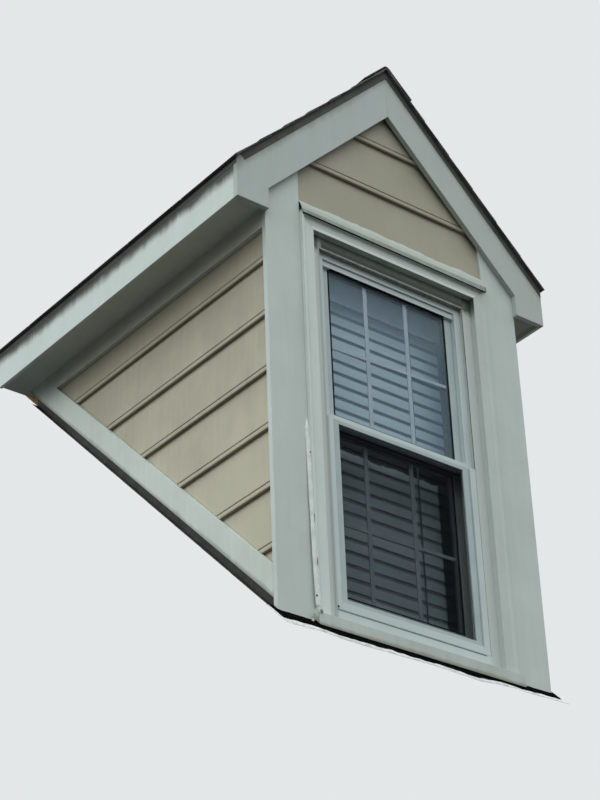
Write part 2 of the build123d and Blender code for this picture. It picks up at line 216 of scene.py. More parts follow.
def timber(name, light, dark, grain, rings):
    """Bare softwood or plywood, matt, with soft streaks along the grain and bands every few mm.
    grain holds the scales along x, y and z; rings is (direction across them, width in mm, amount)."""
    finish, tree, shader = new_finish(name, 0.75, 0.25)
    place = add(tree, "TexCoord", {}).outputs["Object"]
    long_way = add(tree, "Mapping", {0: place, "Scale": grain})
    streaks = add(tree, "TexNoise", {0: long_way, "Scale": 1.0, "Detail": 5.0, "Roughness": 0.6})
    direction, width, amount = rings
    across = add(tree, "VectorMath", {0: place, 1: direction}, operation="DOT_PRODUCT")
    wobble = add(tree, "Math", {0: streaks, 1: width * mm, 2: across}, operation="MULTIPLY_ADD")
    turns = add(tree, "Math", {0: wobble, 1: math.tau / (width * mm)}, operation="MULTIPLY")
    bands = add(tree, "Math", {0: turns}, operation="SINE")
    blend = add(tree, "Math", {0: bands, 1: amount, 2: streaks}, operation="MULTIPLY_ADD")
    tone = add(tree, "ValToRGB", {0: blend}, stops=[(0.3, dark), (0.68, light)])
    bump = add(tree, "Bump", {"Strength": 0.5, "Distance": 0.6 * mm, "Height": blend})
    wire(shader, {"Base Color": tone, "Normal": bump})
    return finish


def painted(name, paint, film, grain, band=None, roughness=0.55, gloss=0.4):
    """Outdoor paint on boards, satin, with a cloudy film, weak runs, specks and the grain below.
    grain holds the scales along x, y and z; band is (direction, value where clean, value where
    dirty, colour) of dirt that gathers towards one edge."""
    finish, tree, shader = new_finish(name, roughness, gloss)
    place = add(tree, "TexCoord", {}).outputs["Object"]
    clouds = add(tree, "TexNoise", {0: place, "Scale": 5.0, "Detail": 6.0, "Roughness": 0.6})
    down = add(tree, "Mapping", {0: place, "Scale": (45.0, 45.0, 2.5)})
    runs = add(tree, "TexNoise", {0: down, "Scale": 1.0, "Detail": 3.0})
    dirt = add(tree, "Math", {0: runs, 1: 0.35, 2: clouds}, operation="MULTIPLY_ADD")
    coat = veil(tree, paint, film, dirt, 0.5, 0.9)
    grit = add(tree, "TexNoise", {0: place, "Scale": 210.0, "Detail": 2.0})
    specks = add(tree, "MapRange", {0: grit, 1: 0.68, 2: 0.76, 4: 0.35})
    coat = add(tree, "Mix", {0: specks, 6: coat, 7: film}, data_type="RGBA", blend_type="MULTIPLY")
    if band:
        direction, clean, dirty, grime = band
        sway = (dirty - clean) / 4
        along = add(tree, "VectorMath", {0: place, 1: direction}, operation="DOT_PRODUCT")
        uneven = add(tree, "MapRange", {0: dirt, 1: 0.5, 2: 0.9, 3: -sway, 4: sway})
        ragged = add(tree, "Math", {0: along, 1: uneven}, operation="ADD")
        coat = veil(tree, coat, grime, ragged, clean, dirty, fade="SMOOTHSTEP")
    fibres = add(tree, "Mapping", {0: place, "Scale": grain})
    wood = add(tree, "TexNoise", {0: fibres, "Scale": 1.0, "Detail": 4.0})
    bump = add(tree, "Bump", {"Strength": 0.25, "Distance": 0.4 * mm, "Height": wood})
    wire(shader, {"Base Color": coat, "Normal": bump})
    return finish


sheathing_t = 12 * mm
plaster_t = 13 * mm
ply = timber("plywood_sheathing", "#B99A6B", "#8E6E45", (6.0, 60.0, 6.0), ((0, 1, 0), 4.0, 0.18))
stud_wood = timber("stud_softwood", "#C9A878", "#9A7447", (3.0, 90.0, 90.0), ((0, 1, 0.4), 9.0, 0.12))
even = (60.0, 60.0, 60.0)
plaster = painted("emulsion_on_plaster_board", "#CFCBC2", "#BDB8AC", even, roughness=0.85, gloss=0.2)
reveal_coat = painted("shaded_paint_in_reveal", "#57504A", "#474039", even, roughness=0.85, gloss=0.2)
reveal_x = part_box("window_frame")[1].x + sheathing_t
plate_h = 30 * mm


def in_reveal(face):
    """Whether a face lines the window opening, above the bottom plate."""
    return abs(face.center.x) < reveal_x and abs(face.normal.y) < 0.5 and face.center.z > plate_h


for node, name, inward in (
    ("front_wall", "front", Vector((0, 1, 0))),
    ("left_cheek_wall", "left_cheek", Vector((1, 0, 0))),
    ("right_cheek_wall", "right_cheek", Vector((-1, 0, 0))),
):
    outer, inner = sorted(corner.dot(inward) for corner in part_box(node))
    stud, board = outer + sheathing_t, inner - plaster_t
    for layer_name, start, end, finish in (
        ("sheathing", outer, stud, ply),
        ("studs", stud, board, stud_wood),
        ("plaster_board", board, inner, plaster),
    ):
        layer = cad_copy(node, name + "_" + layer_name)
        if start > outer:
            cut(layer, inward * start, inward)
        if end < inner:
            cut(layer, inward * end, -inward)
        fit(layer, finish, "wall_panel", node)
        if name == "front":
            coat_faces(layer, reveal_coat, in_reveal)


# Roof frame: sawn softwood rafters nailed to a ridge board, and a plywood deck on them.
# The CAD solids have the true shape, so they keep it and get the saw marks and grain.
def refinish(node, finish):
    """Gives a CAD solid its finish."""
    nodes[node].data.materials.clear()
    nodes[node].data.materials.append(finish)


sawn = ("#CBA673", "#8F6B40")
refinish("ridge_board", timber("sawn_softwood_ridge", *sawn, (80.0, 3.0, 80.0), ((1, 0, 0.5), 11.0, 0.1)))
for side_name, across in (("left", -0.7071), ("right", 0.7071)):
    saw_marks = ((across, 0.3, 0.7071), 11.0, 0.1)
    rafter_wood = timber("sawn_softwood_rafter_" + side_name, *sawn, (9.0, 80.0, 9.0), saw_marks)
    refinish(side_name + "_rafters", rafter_wood)
    veneers = ((across, 0, 0.7071), 4.0, 0.2)
    deck_ply = timber("plywood_deck_" + side_name, "#BD9C69", "#8A6A40", (40.0, 4.0, 40.0), veneers)
    refinish(side_name + "_roof_deck", deck_ply)


# Shingles: three-tab asphalt shingles in courses of 143 mm, nailed over a starter strip.
# Each tab lies on the course below, so its butt stands up and its head lies on the deck.
def block(name, low, high):
    """A box between two corners, as a start for a piece."""
    bpy.ops.object.select_all(action="DESELECT")
    bpy.ops.mesh.primitive_cube_add(size=1.0, location=[(a + b) / 2 for a, b in zip(low, high)])
    piece = bpy.context.object
    piece.name = name
    piece.scale = [b - a for a, b in zip(low, high)]
    bpy.ops.object.transform_apply(location=True, rotation=True, scale=True)
    return piece


def finish_with(piece, kind, **settings):
    """Gives the active piece a modifier and applies it."""
    modifier = piece.modifiers.new("finish", kind)
    for name, value in settings.items():
        setattr(modifier, name, value)
    bpy.ops.object.modifier_apply(modifier=modifier.name)


smooth_angle = math.radians(35.0)


def ease(piece, width, segments=2, angle=30.0):
    """Takes the sharp edges off a piece, as sanding, rolling or moulding does."""
    pick(piece)
    finish_with(piece, "BEVEL", width=width, segments=segments, angle_limit=math.radians(angle))
    bpy.ops.object.shade_smooth_by_angle(angle=smooth_angle)
    finish_with(piece, "WEIGHTED_NORMAL", keep_sharp=True)
    return piece


def placed_copy(piece, matrix, tone):
    """A copy with its own mesh, moved in the mesh itself, and with a tone of its own from 0 to 1; on the slats
    this tone carries their painted light level.
    """
    other = bpy.data.objects.new(piece.name, piece.data.copy())
    scene.collection.objects.link(other)
    other.data.transform(matrix)
    shade = other.data.attributes.get("tone") or other.data.attributes.new("tone", "FLOAT", "POINT")
    shade.data.foreach_set("value", [tone] * len(other.data.vertices))
    return other


def joined(name, members):
    """One piece from several."""
    bpy.ops.object.select_all(action="DESELECT")
    for member in members:
        member.select_set(True)
    bpy.context.view_layer.objects.active = members[0]
    bpy.ops.object.join()
    members[0].name = name
    return members[0]


def discard(piece):
    """Removes the pattern piece that copies were made from."""
    bpy.data.objects.remove(piece, do_unlink=True)


exposure = 143 * mm
tab_len = exposure + 60 * mm
tab_w = 305 * mm
tab_slot = 7 * mm
tab_t = 3.4 * mm
tab_jog = 1.6 * mm
metal_t = 1 * mm
roof_cover = 14 * mm
half_slope = math.radians(45.0)
slope_run = 0.7071
ridge_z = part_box("right_roof_deck")[1].z
cover_low, cover_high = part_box("right_roof_shingles")
slope_len = cover_high.x / math.cos(half_slope) - 8 * mm

# Mineral granules scatter all light: matt, grainy, and each tab a shade of its own.
shingle_finish, tree, shader = new_finish("asphalt_shingle_granules", 0.92, 0.25)
place = add(tree, "TexCoord", {}).outputs["Object"]
own = add(tree, "Attribute", {}, attribute_name="tone").outputs["Fac"]
grains = add(tree, "TexVoronoi", {0: place, "Scale": 420.0})
blotches = add(tree, "TexNoise", {0: place, "Scale": 14.0, "Detail": 5.0})
speck = add(tree, "SeparateColor", {0: grains.outputs["Color"]})
worn = add(tree, "Math", {0: own, 1: 0.30, 2: blotches}, operation="MULTIPLY_ADD")
worn = add(tree, "Math", {0: speck, 1: 0.35, 2: worn}, operation="MULTIPLY_ADD")
greys = [(0.30, "#2B2C2D"), (0.62, "#464747"), (0.95, "#60625F"), (1.0, "#777873")]
rough = add(tree, "Bump", {"Strength": 0.7, "Distance": 1.2 * mm, "Height": grains.outputs["Distance"]})
wire(shader, {"Base Color": add(tree, "ValToRGB", {0: worn}, stops=greys), "Normal": rough})

tab = ease(block("tab", (0, 0, 0), (tab_len, tab_w - tab_slot, tab_t)), 0.9 * mm, 1)
lean = Matrix.Rotation(-math.atan(tab_t / exposure), 4, "Y")
start_y, back_y = cover_low.y, cover_high.y
under_layers = [
    ("starter", (slope_len - 180 * mm, start_y, metal_t), (slope_len - 2 * mm, back_y, metal_t + tab_t), 0.1),
    ("felt", (0, start_y + 2 * mm, metal_t * 0.2), (slope_len - 4 * mm, back_y, metal_t), 0.0),
]
dice = random.Random(4)
for side_name, side in (("right", 1), ("left", -1)):
    turn = Matrix.Rotation(0.0 if side > 0 else math.pi, 4, "Z")
    slope_frame = Matrix.Translation((0, 0, ridge_z)) @ turn @ Matrix.Rotation(half_slope, 4, "Y")
    tabs = []
    course = 0
    while slope_len - course * exposure > 0:
        butt = slope_len - course * exposure
        along = start_y - (0.5 if course % 2 else 0.0) * tab_w
        while along < back_y - butt * slope_run:
            start = max(along, start_y)
            foot = butt - dice.uniform(0.0, tab_jog)
            low_y = start if side > 0 else -start - (tab_w - tab_slot)
            set_down = Matrix.Translation((foot, low_y, metal_t + 2 * tab_t)) @ lean
            set_down = set_down @ Matrix.Translation((-tab_len, 0, -tab_t))
            tabs.append(placed_copy(tab, slope_frame @ set_down, dice.random()))
            along = start + tab_w if start > along else along + tab_w
        course += 1
    for name, corner, far_corner, tone in under_layers:
        under = block(name, corner, far_corner)
        if side < 0:
            under.data.transform(Matrix.Scale(-1, 4, (0, 1, 0)))
            under.data.flip_normals()
        tabs.append(placed_copy(under, slope_frame, tone))
        discard(under)
    slope_cover = joined(side_name + "_shingle_courses", tabs)
    cut(slope_cover, (0, 0, roof_cover), (0, -1, 1))
    cut(slope_cover, (0, 0, 0), (side, 0, 0))
    fit(slope_cover, shingle_finish, "asphalt_shingle", side_name + "_roof_shingles")
discard(tab)


# Ridge cap: single tabs bent over the ridge, each lapping the one before it from the front back.
# They are warmed and folded by hand, so the bend is round and the wings spring up a little.
def shift(piece, chosen, by):
    """Moves the points for which chosen(point) holds."""
    pick(piece)
    bpy.ops.object.mode_set(mode="EDIT")
    bpy.ops.mesh.select_all(action="DESELECT")
    bpy.ops.object.mode_set(mode="OBJECT")
    for point in piece.data.vertices:
        point.select = chosen(point.co)
    bpy.ops.object.mode_set(mode="EDIT")
    bpy.ops.transform.translate(value=by)
    bpy.ops.object.mode_set(mode="OBJECT")
    return piece


cap_low, cap_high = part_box("ridge_cap")
cap_half = cap_high.x
fold_w = 16 * mm
bpy.ops.object.select_all(action="DESELECT")
bpy.ops.mesh.primitive_plane_add(size=1.0)
cap = bpy.context.object
cap.name = "cap"
cap.scale = (2 * cap_half, tab_len, 1.0)
bpy.ops.object.transform_apply(location=True, rotation=True, scale=True)
bpy.ops.object.mode_set(mode="EDIT")
bpy.ops.mesh.subdivide(number_cuts=1)
bpy.ops.object.mode_set(mode="OBJECT")
shift(cap, lambda co: abs(co.x) < mm, (0, 0, cap_half))
for edge in cap.data.edges:
    edge.select = all(abs(cap.data.vertices[i].co.x) < mm for i in edge.vertices)
bpy.ops.object.mode_set(mode="EDIT")
bpy.ops.mesh.select_mode(type="EDGE")
bpy.ops.mesh.bevel(offset=fold_w, segments=5)
bpy.ops.mesh.select_mode(type="VERT")
bpy.ops.object.mode_set(mode="OBJECT")
finish_with(cap, "SOLIDIFY", thickness=tab_t, offset=-1.0)
bpy.ops.object.shade_smooth_by_angle(angle=smooth_angle)
caps = []
spot = cap_low.y
lean = Matrix.Rotation(math.atan(tab_t / exposure), 4, "X")
while spot < cap_high.y:
    rise = cap_high.z - cap_half - tab_t * 1.45
    drop = Matrix.Translation((dice.uniform(-2, 2) * mm, spot + tab_len / 2, rise))
    caps.append(placed_copy(cap, drop @ lean.inverted(), dice.random()))
    spot += exposure
discard(cap)
ridge = joined("ridge_cap_tabs", caps)
cut(ridge, (0, 0, roof_cover), (0, -1, 1))
fit(ridge, shingle_finish, "asphalt_shingle", "ridge_cap")


# Drip edges: brown coil-coated sheet bent over the edge of the deck, its lower edge hemmed.
# Years of water off the granules left a grey-brown film on it. The left rake's foot is cut short.
def mottled(name, roughness, gloss, patches, stops, relief=None):
    """A finish in the tones of its own dirt. patches is (scale, detail, roughness) of the dirt,
    and relief is (scale, detail, strength, depth in mm) of dents, lumps or grit."""
    finish, tree, shader = new_finish(name, roughness, gloss)
    place = add(tree, "TexCoord", {}).outputs["Object"]
    scale, detail, rough = patches
    film = add(tree, "TexNoise", {0: place, "Scale": scale, "Detail": detail, "Roughness": rough})
    wire(shader, {"Base Color": add(tree, "ValToRGB", {0: film}, stops=stops)})
    if relief:
        scale, detail, strength, depth = relief
        dents = add(tree, "TexNoise", {0: place, "Scale": scale, "Detail": detail})
        bump = add(tree, "Bump", {"Strength": strength, "Distance": depth * mm, "Height": dents})
        wire(shader, {"Normal": bump})
    return finish


# A coil coating is smooth, but dull with dirt and dented, so its highlights are broad.
brown_film = [(0.35, "#363633"), (0.7, "#4C4B46")]
broad_dents = (9.0, 1.0, 0.4, 1.5)
brown_sheet = mottled("brown_coil_coated_sheet", 0.6, 0.3, (16.0, 6.0, 0.65), brown_film, broad_dents)
foot_short = 15 * mm
for name in ("left_rake", "right_rake", "left_eave", "right_eave"):
    node = name + "_drip_edge"
    drip = cad_copy(node, name + "_metal_edge")
    if name == "left_rake":
        low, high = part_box(node)
        end_x = -low.x - foot_short
        cut(drip, (-end_x, 0, high.z - end_x), (1, 0, 1))
    fit(ease(drip, 0.3 * mm, 1), brown_sheet, "brown_drip_edge", node)


# White trim: planed boards, primed and painted white, nailed on and caulked at the joints.
# The paint has chalked a little and carries a grey film, more of it high up under the roof edge.
def dress(node, name, width, finish, slot="white_trim", segments=2, angle=30.0):
    """A copy of a CAD node with its edges eased and its finish on, in place of the node."""
    return fit(ease(cad_copy(node, name), width, segments, angle), finish, slot, node)


upright_grain = (420.0, 420.0, 9.0)
level_grain = (9.0, 420.0, 420.0)
depth_grain = (420.0, 9.0, 420.0)
corner_paint = painted("white_paint_corner_board", "#C1C8C6", "#B7BEBB", upright_grain)
for side_name in ("left", "right"):
    dress(side_name + "_corner_board", side_name + "_corner_post_board", 1.5 * mm, corner_paint)


# Rake boards: boards nailed over the corner boards, plumb at the eave, with a level return that
# closes the corner under each, flush with it. Painted white, darker along the metal edge with dirt and painted
# shade.
def plank(name, outline, y_front, y_back):
    """A board with an outline of (x, z) points, given its thickness by an extrusion."""
    bpy.ops.object.select_all(action="DESELECT")
    bpy.ops.mesh.primitive_circle_add(vertices=len(outline), fill_type="NGON")
    piece = bpy.context.object
    piece.name = name
    for point, (x, z) in zip(piece.data.vertices, outline):
        point.co = (x, y_front, z)
    bpy.ops.object.mode_set(mode="EDIT")
    bpy.ops.mesh.select_all(action="SELECT")
    bpy.ops.mesh.extrude_region_move(TRANSFORM_OT_translate={"value": (0, y_back - y_front, 0)})
    bpy.ops.mesh.select_all(action="SELECT")
    bpy.ops.mesh.normals_make_consistent(inside=False)
    bpy.ops.object.mode_set(mode="OBJECT")
    return piece


rake_low, rake_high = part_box("left_rake_board")
rake_plumb = 197.6 * mm
return_x = -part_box("left_corner_board")[0].x - 3 * mm
edge_x = -rake_low.x
ridge_way = ridge_z * slope_run
for side_name, side, paint, film in (("left", -1, "#B0B7B5", "#A9AFAD"), ("right", 1, "#AFB5B1", "#A9AFAB")):
    metal_edge_dirt_and_shade = ((slope_run * side, 0, slope_run), ridge_way - 50 * mm, ridge_way - 18 * mm, "#8B908B")
    rake_paint = painted("white_paint_rake_" + side_name, paint, film, (60.0, 420.0, 60.0), metal_edge_dirt_and_shade)
    outline = [
        (0, rake_high.z),
        (side * edge_x, rake_high.z - edge_x),
        (side * edge_x, rake_low.z),
        (side * return_x, rake_low.z),
        (side * return_x, rake_high.z - rake_plumb - return_x),
        (0, rake_high.z - rake_plumb),
    ]
    board = ease(plank(side_name + "_barge_board", outline, rake_low.y, rake_high.y), 1.5 * mm)
    stands_for = [side_name + "_rake_board"] + (["eave_returns"] if side < 0 else [])
    fit(board, rake_paint, "white_trim", *stands_for)

# Fascias: one by six boards nailed to the rafter tails, plumb, under the shingle edge.
# A soft dark band along the top under the metal is dirt washed off the roof and painted shade.
fascia_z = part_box("left_fascia")[0].z
top_dirt_and_shade = ((0, 0, 1), fascia_z + 72 * mm, fascia_z + 118 * mm, "#3C3D38")
for side_name in ("left", "right"):
    fascia_paint = painted("white_paint_fascia_" + side_name, "#CAD1CF", "#C2C9C5", depth_grain, top_dirt_and_shade)
    dress(side_name + "_fascia", side_name + "_fascia_board", 1.5 * mm, fascia_paint)

# Soffits and friezes: thin painted plywood under the rafter tails and a board below it.
# They are always in shade, so the flat paint is dull and a little mildewed.
flat = {"roughness": 0.95, "gloss": 0.08}
soffit_paint = painted("flat_paint_soffit", "#CED3CC", "#C2C8C0", (200.0, 9.0, 200.0), **flat)
frieze_paint = painted("flat_paint_frieze", "#CBCDC2", "#BEC1B5", depth_grain, **flat)
for side_name in ("left", "right"):
    dress(side_name + "_soffit", side_name + "_soffit_panel", 0.8 * mm, soffit_paint)
    dress(side_name + "_frieze_board", side_name + "_frieze", 1.2 * mm, frieze_paint)

# Skirt boards: they run along the main roof at its slope and cover the step flashing.
# Splashes off the shingles keep their lower edge grey.
splashes = ((0, slope_run, -slope_run), -45 * mm, -30 * mm, "#8C9089")
skirt_paint = painted("white_paint_skirt", "#C5CBC5", "#B8BEB7", (420.0, 12.0, 12.0), splashes)
for side_name in ("left", "right"):
    dress(side_name + "_skirt_board", side_name + "_skirt", 1.5 * mm, skirt_paint)

# Siding: beaded lap boards, a round bead and a quirk along each lower edge, painted cream.
# The CAD section has the laps and the bead; here the bead is rounded and the face weathered.
eave_shade = ((0, 0, 1), 0.35, 1.45, "#9C9482")
gable_shade = ((0, 0, 1), 1.75, 2.25, "#8F8879")
# The gable's cream is drawn darker than the cheeks': painted shade on the front.
for name, grain, cream, cream_film, shaded in (
    ("left_cheek", depth_grain, "#B2AB97", "#ADA693", eave_shade),
    ("right_cheek", depth_grain, "#B2AB97", "#ADA693", eave_shade),
    ("gable", level_grain, "#A09A8A", "#9A9484", gable_shade),
):
    siding_paint = painted("cream_paint_" + name, cream, cream_film, grain, shaded)
    boards = dress(name + "_siding", name + "_lap_boards", 1.6 * mm, siding_paint, "cream_siding", 3, 20.0)
    # Painted shade: the faces under the beads and in the quirks are drawn dark.
    bead_shade_paint = painted("painted_shade_under_beads_" + name, "#7A705C", "#655C4B", grain)
    coat_faces(boards, bead_shade_paint, lambda face: abs(face.normal.z) > 0.45)

# Brick mould: the moulded casing round the window, mitred at the head and caulked to the boards.
# Mildew and painted shade darken the corner under the head and the head's underside, and the head's front
# faces carry painted light, brightest on the lower lip.
low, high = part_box("head_casing")
casing_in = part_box("right_casing")[0].x
# Mildew and painted shade on the casings' inner sides, darkening towards the head.
casing_mildew_and_shade = ((0, 0, 1), low.z - 90 * mm, low.z - 15 * mm, "#4C5448")


def beside_window(face):
    """Whether a face is on the inner side of an upright casing."""
    return abs(face.normal.x) > 0.8 and abs(face.center.x) < casing_in + 2 * mm


# The left brick mould's paint is drawn lighter than the right one's: painted light and shade on one paint.
for side_name, coat, film in (("left", "#CFD6D4", "#C5CCC9"), ("right", "#BDC3C1", "#B4BAB7")):
    mould_paint = painted("white_paint_brick_mould_" + side_name, coat, film, upright_grain)
    mould = dress(side_name + "_casing", side_name + "_brick_mould", 1.2 * mm, mould_paint, angle=25.0)
    inner_mildew_shade_paint = painted("mildewed_and_shaded_paint_" + side_name, coat, film, upright_grain, casing_mildew_and_shade)
    coat_faces(mould, inner_mildew_shade_paint, beside_window)
# The head's underside is drawn green-grey: mildew and painted shade.
underside_mildew_and_shade = ((0, 0.3, -1.0), -low.z - 12 * mm, -low.z + 2 * mm, "#676E60")
head_paint = painted("white_paint_head_mould", "#BBC2BF", "#9FA59F", level_grain, underside_mildew_and_shade)
mould = dress("head_casing", "head_brick_mould", 1.2 * mm, head_paint, angle=25.0)
# Painted light: the head's front faces are drawn lighter, with a painted highlight on the lower lip.
lip_painted_highlight = ((0, 0, -1), -low.z - 15 * mm, -low.z - 9 * mm, "#DADFDC")
front_painted_light_paint = painted("painted_light_paint_head_mould_front", "#C6CDCA", "#B8BEB9", level_grain, lip_painted_highlight)
coat_faces(mould, front_painted_light_paint, lambda face: face.normal.y < -0.5 and face.center.z > low.z + 12 * mm)


# Head flashing: white coated sheet over the casing, its front edge turned down as a drip that
# sags to the right. The joint with the siding was closed later with a thick smear of caulk.
def strip(name, columns, rows, place, thick=0.0, shade_angle=50.0):
    """A sheet of columns by rows, laid by place(s, t) with s and t from 0 to 1, and thickened."""
    bpy.ops.object.select_all(action="DESELECT")
    bpy.ops.mesh.primitive_grid_add(x_subdivisions=columns, y_subdivisions=rows, size=1.0)
    sheet = bpy.context.object
    sheet.name = name
    for point in sheet.data.vertices:
        point.co = place(point.co.x + 0.5, point.co.y + 0.5)
    if thick:
        finish_with(sheet, "SOLIDIFY", thickness=thick, offset=0.0)
    bpy.ops.object.mode_set(mode="EDIT")
    bpy.ops.mesh.select_all(action="SELECT")
    bpy.ops.mesh.normals_make_consistent(inside=False)
    bpy.ops.object.mode_set(mode="OBJECT")
    bpy.ops.object.shade_smooth_by_angle(angle=math.radians(shade_angle))
    return sheet


def wave(seed, value):
    """A smooth random value from -1 to 1 along a length in metres."""
    return noise.noise(Vector((value, seed * 7.3, 0.4)))


grey_film = [(0.3, "#7F857B"), (0.62, "#9DA397")]
deep_dents = (12.0, 2.0, 0.6, 2.0)
sheet_finish = mottled("white_coil_coated_sheet", 0.5, 0.35, (22.0, 6.0, 0.7), grey_film, deep_dents)
cap_low, cap_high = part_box("head_flashing")
drip_cap = cad_copy("head_flashing", "head_drip_cap")
shift(drip_cap, lambda co: co.z < cap_low.z + 1 * mm and co.x < 0, (0, 0, -3 * mm))
shift(drip_cap, lambda co: co.z < cap_low.z + 1 * mm and co.x > 0, (0, 0, -8 * mm))
fit(ease(drip_cap, 0.5 * mm), sheet_finish, "white_flashing", "head_flashing")

# Acrylic caulk is soft and lumpy under the finger, so dirt stays in its hollows.
hollows = (30.0, 6.0, 0.7)
lumps = (160.0, 3.0, 0.6, 1.2)
aged_caulk = mottled("aged_white_caulk", 0.6, 0.3, hollows, [(0.3, "#858981"), (0.6, "#B2B5AC")], lumps)
fresh_caulk = mottled("white_acrylic_caulk", 0.6, 0.3, hollows, [(0.3, "#C2C6C3"), (0.6, "#DDE0DD")], lumps)
# One near-black finish for open joints, cracks, holes and gaskets, used also as painted shade in the gap under
# the drip and over the lower sash's top rail.
joint_dirt_and_shade = [(0.3, "#101212"), (0.7, "#272A28")]
dark_joint_and_shade_finish = mottled("black_joint_dirt_and_painted_shade", 0.95, 0.1, (90.0, 3.0, 0.5), joint_dirt_and_shade)

lip_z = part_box("head_casing")[1].z
smear_rise = 50 * mm
siding_y = -41 * mm
smear_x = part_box("left_casing")[0].x
hump_x = -196 * mm
hump_w = 120 * mm


def smear_place(s, t):
    """The caulk runs from the drip up and back onto the siding, with a wavy upper edge."""
    x = smear_x + (cap_high.x - smear_x) * s
    hump = 6 * mm * math.exp(-(((x - hump_x) / hump_w) ** 2))
    rise = smear_rise + hump + 6 * mm * wave(1, x * 9) + 4 * mm * wave(2, x * 40)
    bulge = 5 * mm * math.sin(math.pi * t) * (0.7 + 0.5 * wave(3, x * 25))
    front = cap_low.y + 0.6 * mm
    y = front + (siding_y - front) * t ** 0.8
    z0 = cap_low.z + 9 * mm * s
    return Vector((x, y - bulge, z0 + (lip_z + 4 * mm + rise - z0) * t + bulge * 0.5))


def gap_shade_place(s, t):
    """The strip of painted shade follows the sagging drip, in the gap just under it."""
    x = cap_low.x + 4 * mm + (cap_high.x - cap_low.x - 9 * mm) * s
    return Vector((x, cap_low.y + (0.8 + 4.6 * t) * mm, cap_low.z - (3.4 + 3.2 * s) * mm))


smear_top = lip_z + smear_rise
# The smear is drawn lighter towards its upper edge.
smear_lighter_top = ((0, 0, 1), smear_top - 26 * mm, smear_top - 12 * mm, "#AEB3AD")
smear_caulk = painted("aged_white_caulk_smear", "#AAAFA8", "#9CA19A", (90.0, 90.0, 90.0), smear_lighter_top)
fit(strip("head_caulk", 240, 8, smear_place, 1.5 * mm), smear_caulk, "white_flashing")
# A near-black strip in the gap under the drip, and a block at the drip's right end, are painted shade.
end_low = (cap_high.x - 1.2 * mm, cap_low.y - 0.4 * mm, lip_z - 14 * mm)
end_gap_high = (cap_high.x, cap_low.y + 7 * mm, lip_z + 3 * mm)
drip_gap_shades = [strip("drip_gap_shade", 40, 1, gap_shade_place, 2.6 * mm), block("end_gap_shade", end_low, end_gap_high)]
fit(joined("drip_gap_shade", drip_gap_shades), dark_joint_and_shade_finish, "white_flashing")

# Caulk between the left casing and the corner board: laid by hand, whiter than the paint,
# wobbly, cracked in two places, holed in three and pulled off at the foot.
bead_low_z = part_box("window_sill")[1].z + 6 * mm
bead_top_z = 640 * mm
bead_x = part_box("left_casing")[0].x - 6 * mm
bead_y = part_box("left_corner_board")[0].y
bead_r = 9 * mm


def bead_axis(z):
    """The bead starts on the corner board and ends on the edge of the casing."""
    part = max(0.0, (bead_top_z - z) / bead_top_z)
    return bead_x + 8 * mm * part, bead_y - 9 * mm * part


def bead_place(s, t):
    """The bead runs up the corner and bulges across its width."""
    z = bead_low_z + (bead_top_z - bead_low_z) * s
    turn = math.pi * t
    r = bead_r * (1 + 0.22 * wave(5, z * 22)) * min(1.0, 14 * (1 - s) + 0.15, 30 * s + 0.4)
    x, y = bead_axis(z)
    x += 2.5 * mm * wave(6, z * 6) - r * math.cos(turn)
    return Vector((x, y + 0.5 * mm - 0.7 * r * math.sin(turn), z))


fit(strip("casing_caulk", 220, 8, bead_place), fresh_caulk, "white_trim")
cracks = []
for low_z, high_z, width in ((279 * mm, 327 * mm, 2.2 * mm), (136 * mm, 169 * mm, 2.4 * mm)):
    x, y = bead_axis((low_z + high_z) / 2)

    def crack_place(s, t):
        """The crack wanders up the bead and closes at both ends."""
        z = low_z + (high_z - low_z) * s
        wander = 3 * mm + 2 * mm * wave(8, z * 60)
        return Vector((x + wander + width * (t - 0.5) * math.sin(math.pi * s), y - 6.4 * mm, z))

    cracks.append(strip("crack", 16, 2, crack_place, 0.8 * mm))
for offset, z, r in ((6.0, 340.2, 3.2), (1.0, 519.8, 2.4), (-7.0, 42.7, 2.4)):
    x, y = bead_axis(z * mm)
    spot = (x + offset * mm, y - 4.4 * mm, z * mm)
    bpy.ops.object.select_all(action="DESELECT")
    bpy.ops.mesh.primitive_uv_sphere_add(segments=12, ring_count=8, radius=r * mm, location=spot)
    bpy.context.object.scale = (1.0, 1.2, 1.3)
    bpy.ops.object.transform_apply(location=True, rotation=True, scale=True)
    cracks.append(bpy.context.object)
fit(joined("caulk_cracks", cracks), dark_joint_and_shade_finish, "white_trim")

# Sill: one heavy board with a sloped top, its nose in front of the corner boards.
# Its lower edge is stained by the wet roof, and the caulk at its left end has come away.
sill_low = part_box("window_sill")[0]
stain = ((0, 0, -1), -sill_low.z - 16 * mm, -sill_low.z - 3 * mm, "#8E8C80")
sill_paint = painted("white_paint_sill", "#BAC1BE", "#A9B0AB", level_grain, stain)
dress("window_sill", "sill_board", 1.8 * mm, sill_paint)
torn = []
flakes = ((-3, -66, -22, 34, 10, 82), (-10, -54, -38, 22, 7, 100), (4, -77, -13, 14, 6, 40))
for x, y, z, length, width, turn in flakes:

    def flake_place(s, t):
        """A ragged flake, curled along its length."""
        along = length * (s - 0.5) * (1 + 0.25 * wave(x, t * 4))
        across = width * (t - 0.5) * (1 + 0.8 * wave(y, s * 4))
        return Vector((along, 4.5 * math.sin(2.6 * s + x), across)) * mm

    flake = strip("flake", 16, 6, flake_place, 2.0 * mm, 70.0)
    leaning = Matrix.Rotation(math.radians(turn), 4, "Y") @ Matrix.Rotation(0.6, 4, "X")
    flake.data.transform(Matrix.Translation((sill_low.x + x * mm, y * mm, z * mm)) @ leaning)
    torn.append(flake)
fit(joined("loose_caulk", torn), aged_caulk, "white_trim")

